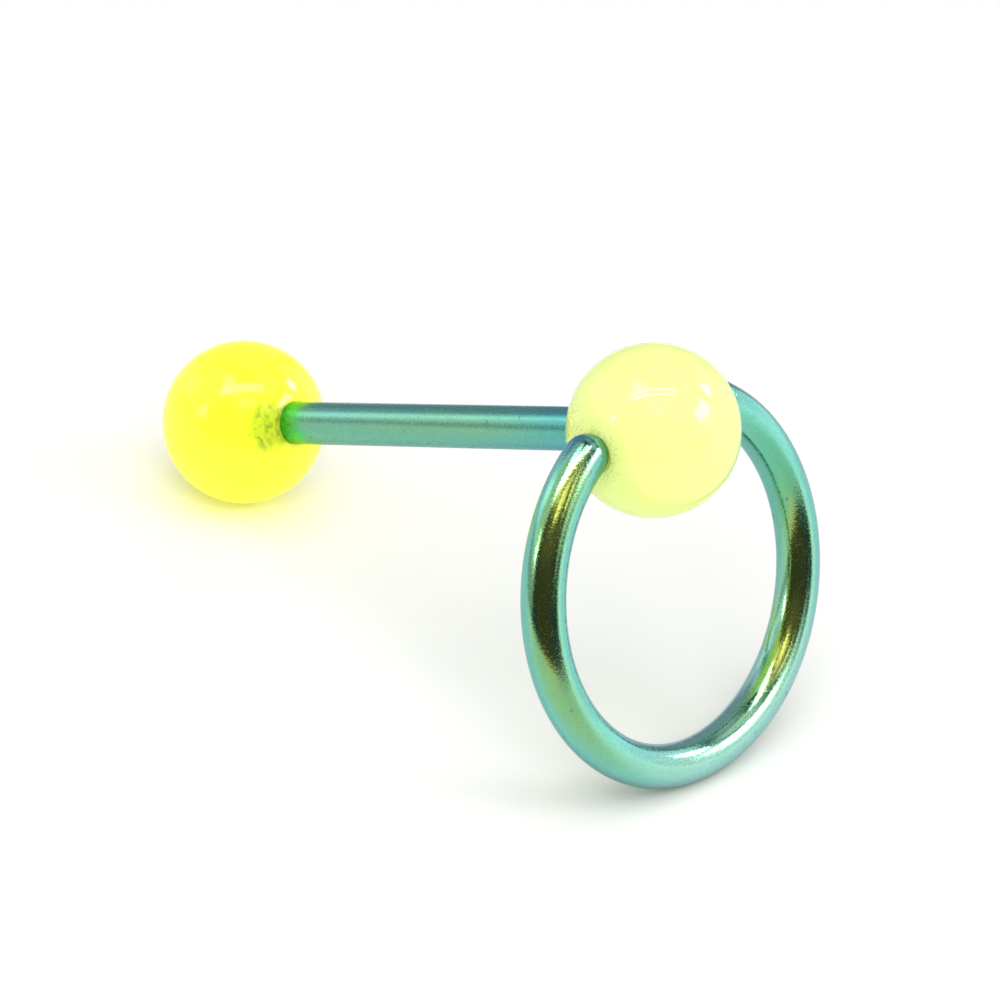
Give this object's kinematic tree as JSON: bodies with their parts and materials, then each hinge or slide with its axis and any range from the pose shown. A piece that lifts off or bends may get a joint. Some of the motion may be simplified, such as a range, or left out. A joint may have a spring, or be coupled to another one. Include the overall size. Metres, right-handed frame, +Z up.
{
  "type": "door knocker tongue barbell",
  "caption": "Straight tongue barbell with translucent acrylic balls and a captive ring of the same wire, hinged in dimples on the front ball so that it swings like a door knocker.",
  "frame": {"origin": "on the surface that the piece stands on, under the middle of its length", "axes": "+X from the rear ball towards the front ball, +Y along the ring's hinge axis, +Z up"},
  "size_m": [0.0286, 0.0152, 0.0156],
  "materials": {
    "anodised_metal": "polished",
    "pale_acrylic": "gloss",
    "yellow_acrylic": "gloss"
  },
  "bodies": {
    "barbell": {"bar": "anodised_metal", "front_ball": "pale_acrylic", "rear_ball": "yellow_acrylic"},
    "ring": {"ring": "anodised_metal"}
  },
  "joints": [
    {"name": "ring_swing", "type": "hinge", "parent": "barbell", "child": "ring", "pos_m": [0.00903, 0, 0.01246], "axis": [0, 1, 0], "range_deg": [-266, 78]}
  ]
}
